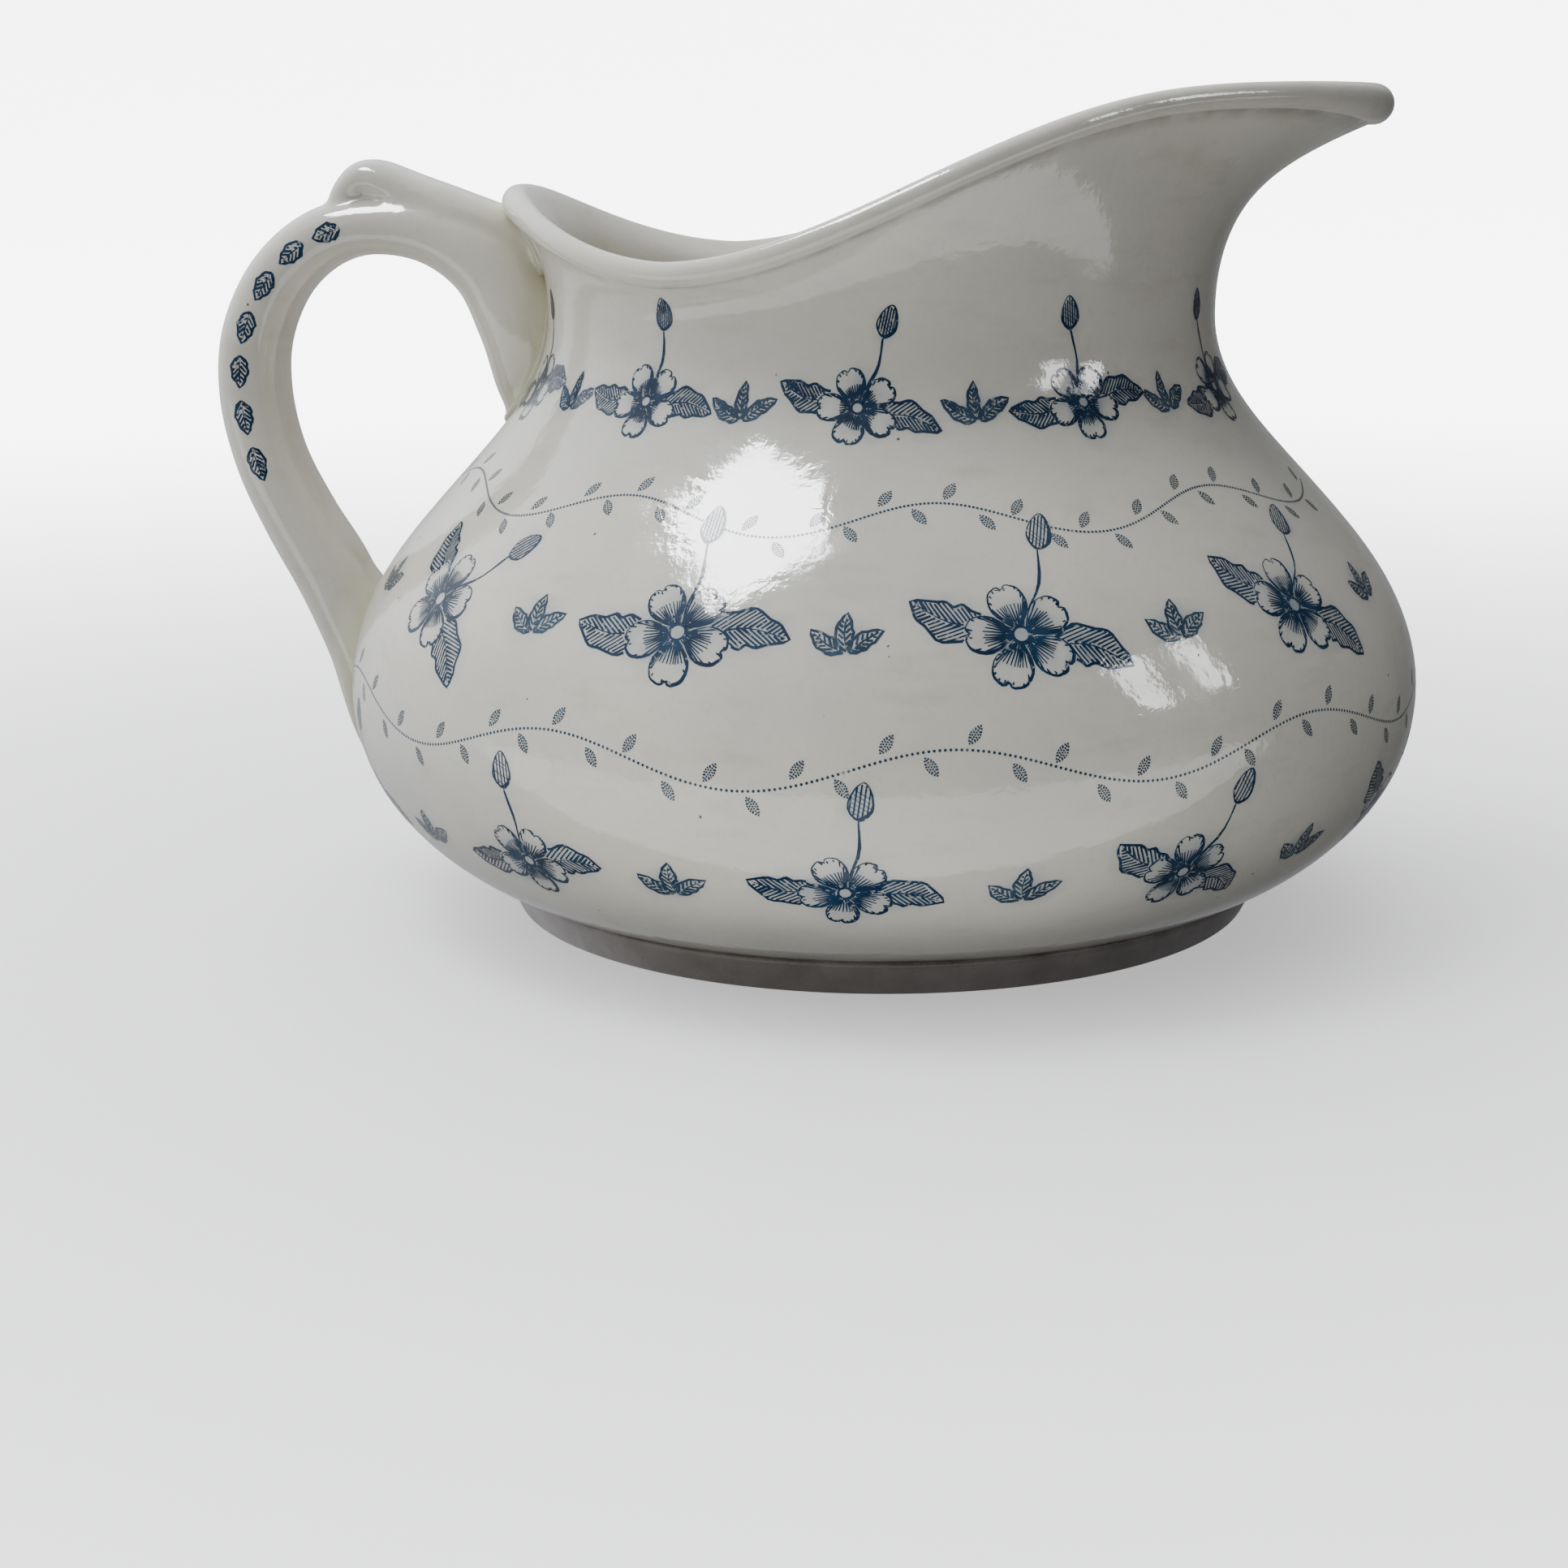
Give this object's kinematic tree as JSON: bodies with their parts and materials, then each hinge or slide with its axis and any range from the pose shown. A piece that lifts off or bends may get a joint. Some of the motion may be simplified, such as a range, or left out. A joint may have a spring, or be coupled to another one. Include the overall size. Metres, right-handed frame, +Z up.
{
  "type": "cream jug",
  "caption": "Wide round-bellied glazed cream jug with a narrow neck, a long pulled spout, a foot ring and a looped handle with a thumb rest.",
  "frame": {"origin": "on the table, under the middle of the whole length and width", "axes": "+X towards the spout, +Y across the jug, +Z up"},
  "size_m": [0.1575, 0.1396, 0.1051],
  "materials": {
    "glazed_body": "clear lead glaze over warm grey-ivory earthenware",
    "glazed_foot": "thin glaze, browned at the foot",
    "glazed_handle": "clear glaze with a faint yellow-green tint where it pools",
    "luting_slip": "slip under yellowed glaze in the handle's joints",
    "blue_print": "slate-blue transfer print under the glaze"
  },
  "bodies": {
    "root": {"body": "glazed_body", "foot_ring": "glazed_foot", "handle": "glazed_handle", "thumb_rest": "glazed_handle", "upper_slip_joint": "luting_slip", "lower_slip_joint": "luting_slip"}
  },
  "joints": []
}
